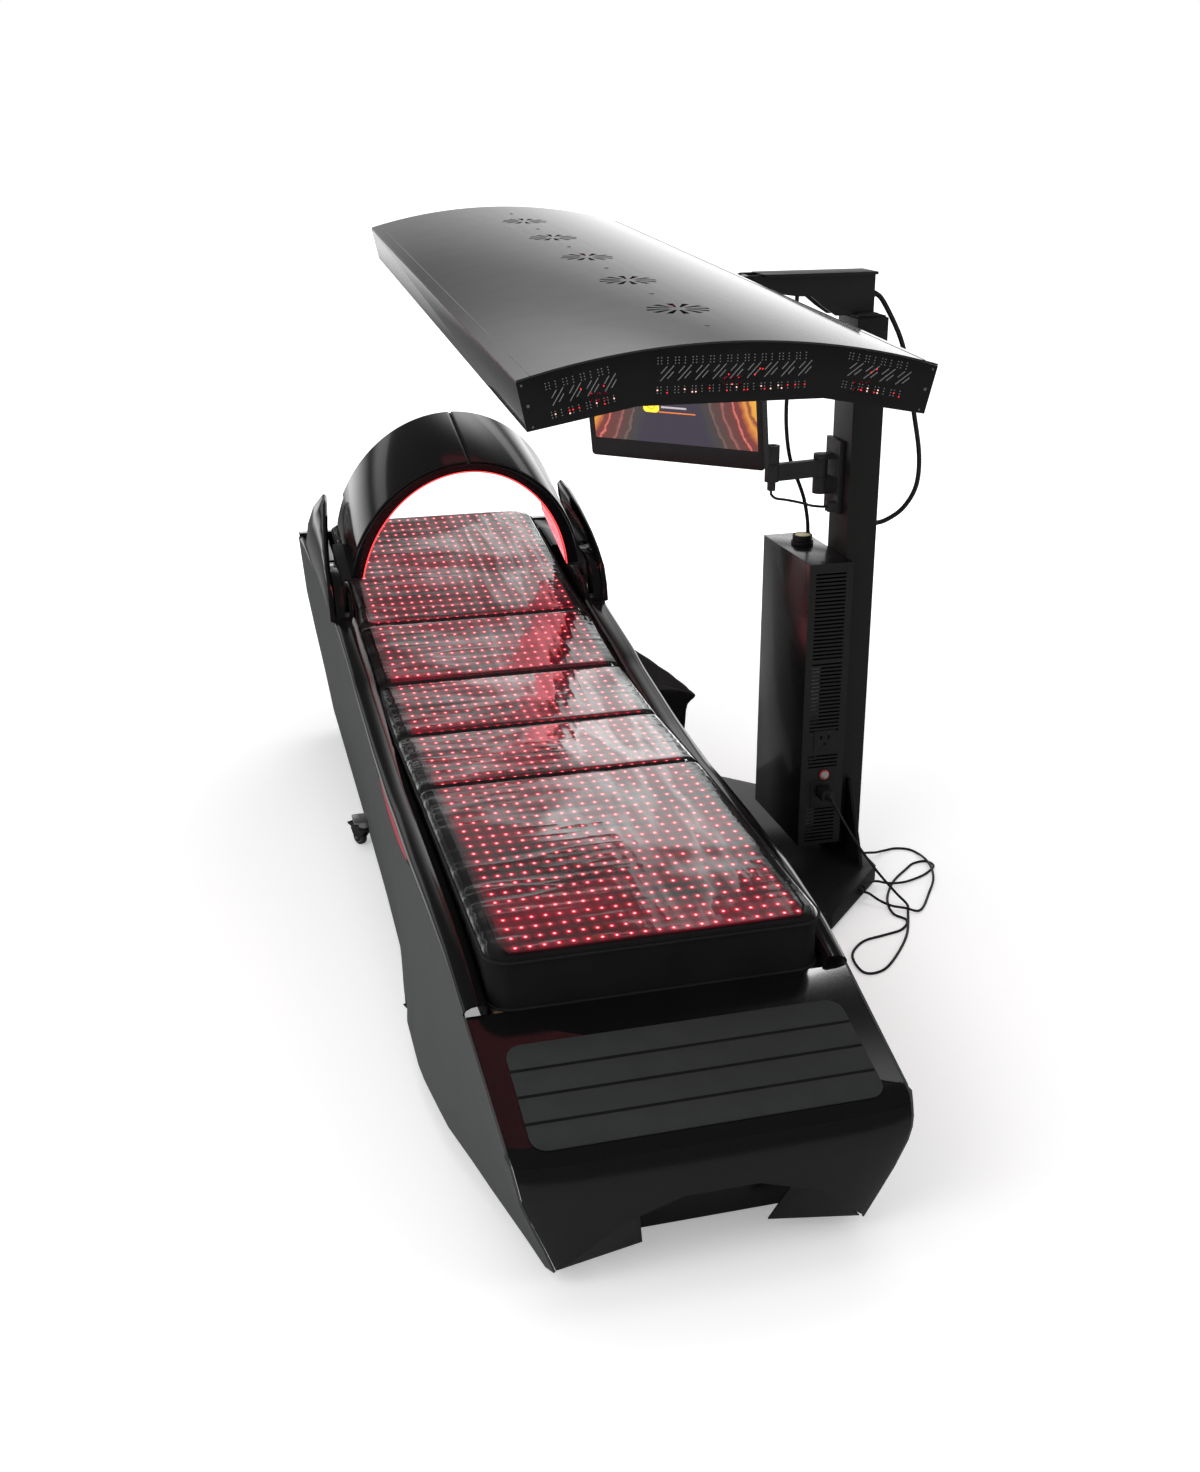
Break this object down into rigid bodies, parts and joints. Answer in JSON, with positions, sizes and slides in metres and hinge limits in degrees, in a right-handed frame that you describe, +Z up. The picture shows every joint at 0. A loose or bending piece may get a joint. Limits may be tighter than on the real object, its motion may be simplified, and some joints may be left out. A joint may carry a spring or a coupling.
{
  "type": "red light therapy bed",
  "caption": "Red light therapy bed: LED mattress in a glossy shell with a hood, and a stand that carries a lamp canopy, a cabinet and a screen.",
  "frame": {"origin": "on the floor, under the bed centreline, at the rubber foot in the middle of the stand base", "axes": "+X across the bed towards the stand, +Y along the bed from foot to head, +Z up"},
  "size_m": [1.3748, 2.654, 1.5005],
  "materials": {
    "steel_frame": "satin",
    "plywood": "matte",
    "gloss_black": "gloss",
    "panel_grey": "satin",
    "black_cloth": "matte",
    "led_mat": "satin",
    "clear_vinyl": "gloss",
    "tread_rubber": "matte",
    "glow_red": "satin",
    "glow_pink": "satin",
    "caster_steel": "satin",
    "caster_plastic": "satin",
    "wheel_rubber": "matte",
    "stand_black": "satin",
    "foot_rubber": "matte",
    "column_paint": "satin",
    "canopy_black": "satin",
    "led_board": "satin",
    "fan_plastic": "matte",
    "cabinet_black": "satin",
    "socket_black": "satin",
    "button_metal": "brushed",
    "supply_metal": "satin",
    "cable_black": "matte",
    "handset_black": "satin",
    "arm_black": "satin",
    "monitor_black": "satin",
    "screen_glass": "gloss"
  },
  "bodies": {
    "root": {"bed_frame": "steel_frame", "mattress_board": "plywood", "side_panel_left": "panel_grey", "side_panel_right": "panel_grey", "side_bands": "gloss_black", "foot_shell": "gloss_black", "foot_deck_mat": "tread_rubber", "toe_kick_panel": "panel_grey", "head_shell": "gloss_black", "glow_strips": "glow_red", "mattress_core": "black_cloth", "led_mat": "led_mat", "vinyl_cover": "clear_vinyl", "arch_pods": "gloss_black", "arch_wings": "gloss_black", "side_flap": "black_cloth", "caster_plates": "caster_steel", "stand_base": "stand_black", "base_feet": "foot_rubber", "column_tube": "column_paint", "cabinet_case": "cabinet_black", "cabinet_front": "cabinet_black", "power_sockets": "socket_black", "power_supply": "supply_metal", "power_plug": "cable_black", "power_cord": "cable_black", "link_cord": "cable_black", "handset": "handset_black", "arm_plate": "arm_black", "canopy_cable": "cable_black", "lift_cable": "cable_black", "monitor_cable": "cable_black"},
    "hood": {"arch_arms": "arm_black", "arch_shell": "gloss_black", "arch_covers": "gloss_black", "arch_liner": "glow_pink"},
    "lift": {"lift_post": "column_paint", "head_bracket": "stand_black"},
    "canopy": {"canopy_skin": "canopy_black", "canopy_frame": "canopy_black", "led_panels": "led_board", "canopy_fans": "fan_plastic"},
    "button": {"power_button": "button_metal"},
    "arm_link_body": {"arm_link": "arm_black"},
    "arm_head_body": {"arm_head": "arm_black"},
    "screen": {"monitor_housing": "monitor_black", "monitor_screen": "screen_glass"},
    "swivel_1": {"caster_fork_1": "caster_plastic"},
    "wheel_1": {"caster_wheel_1": "wheel_rubber"},
    "pedal_1": {"caster_pedal_1": "caster_plastic"},
    "swivel_2": {"caster_fork_2": "caster_plastic"},
    "wheel_2": {"caster_wheel_2": "wheel_rubber"},
    "pedal_2": {"caster_pedal_2": "caster_plastic"},
    "swivel_3": {"caster_fork_3": "caster_plastic"},
    "wheel_3": {"caster_wheel_3": "wheel_rubber"},
    "pedal_3": {"caster_pedal_3": "caster_plastic"},
    "swivel_4": {"caster_fork_4": "caster_plastic"},
    "wheel_4": {"caster_wheel_4": "wheel_rubber"},
    "pedal_4": {"caster_pedal_4": "caster_plastic"}
  },
  "joints": [
    {"name": "hood_tilt", "type": "hinge", "parent": "root", "child": "hood", "pos_m": [0, 0.596, 0.525], "axis": [1, 0, 0], "range_deg": [-15, 20]},
    {"name": "caster_swivel_1", "type": "hinge", "parent": "root", "child": "swivel_1", "pos_m": [-0.33, -0.612, 0.06], "axis": [0, 0, 1], "continuous": true},
    {"name": "caster_wheel_1", "type": "hinge", "parent": "swivel_1", "child": "wheel_1", "pos_m": [-0.341, -0.59295, 0.02], "axis": [-0.866, -0.5, 0], "continuous": true},
    {"name": "caster_pedal_1", "type": "hinge", "parent": "swivel_1", "child": "pedal_1", "pos_m": [-0.349, -0.57909, 0.045], "axis": [-0.866, -0.5, 0], "range_deg": [0, 15]},
    {"name": "caster_swivel_2", "type": "hinge", "parent": "root", "child": "swivel_2", "pos_m": [0.33, -0.612, 0.06], "axis": [0, 0, 1], "continuous": true},
    {"name": "caster_wheel_2", "type": "hinge", "parent": "swivel_2", "child": "wheel_2", "pos_m": [0.341, -0.59295, 0.02], "axis": [-0.866, 0.5, 0], "continuous": true},
    {"name": "caster_pedal_2", "type": "hinge", "parent": "swivel_2", "child": "pedal_2", "pos_m": [0.349, -0.57909, 0.045], "axis": [-0.866, 0.5, 0], "range_deg": [0, 15]},
    {"name": "caster_swivel_3", "type": "hinge", "parent": "root", "child": "swivel_3", "pos_m": [-0.33, 0.32, 0.06], "axis": [0, 0, 1], "continuous": true},
    {"name": "caster_wheel_3", "type": "hinge", "parent": "swivel_3", "child": "wheel_3", "pos_m": [-0.341, 0.33905, 0.02], "axis": [-0.866, -0.5, 0], "continuous": true},
    {"name": "caster_pedal_3", "type": "hinge", "parent": "swivel_3", "child": "pedal_3", "pos_m": [-0.349, 0.35291, 0.045], "axis": [-0.866, -0.5, 0], "range_deg": [0, 15]},
    {"name": "caster_swivel_4", "type": "hinge", "parent": "root", "child": "swivel_4", "pos_m": [0.33, 0.32, 0.06], "axis": [0, 0, 1], "continuous": true},
    {"name": "caster_wheel_4", "type": "hinge", "parent": "swivel_4", "child": "wheel_4", "pos_m": [0.341, 0.33905, 0.02], "axis": [-0.866, 0.5, 0], "continuous": true},
    {"name": "caster_pedal_4", "type": "hinge", "parent": "swivel_4", "child": "pedal_4", "pos_m": [0.349, 0.35291, 0.045], "axis": [-0.866, 0.5, 0], "range_deg": [0, 15]},
    {"name": "lift", "type": "slide", "parent": "root", "child": "lift", "axis": [0, 0, 1], "range_m": [0, 0.15], "deforming": ["lift_cable", "canopy_cable"]},
    {"name": "canopy_swing", "type": "hinge", "parent": "lift", "child": "canopy", "pos_m": [0.50022, -0.06703, 1.39055], "axis": [0.0324, 0.9985, 0.0448], "range_deg": [0, 45]},
    {"name": "power_button", "type": "slide", "parent": "root", "child": "button", "axis": [0, 1, 0], "range_m": [0, 0.0025], "stiffness_N_per_m": 400},
    {"name": "arm_base", "type": "hinge", "parent": "root", "child": "arm_link_body", "pos_m": [0.7, -0.05, 0.976], "axis": [0, 0, 1], "range_deg": [-15, 70]},
    {"name": "arm_elbow", "type": "hinge", "parent": "arm_link_body", "child": "arm_head_body", "pos_m": [0.5741, -0.07311, 1.017], "axis": [0, 0, 1], "range_deg": [-30, 30]},
    {"name": "screen_tilt", "type": "hinge", "parent": "arm_head_body", "child": "screen", "pos_m": [0.3375, -0.15441, 1.1627], "axis": [0.7385, -0.6743, 0], "range_deg": [-20, 10]}
  ]
}
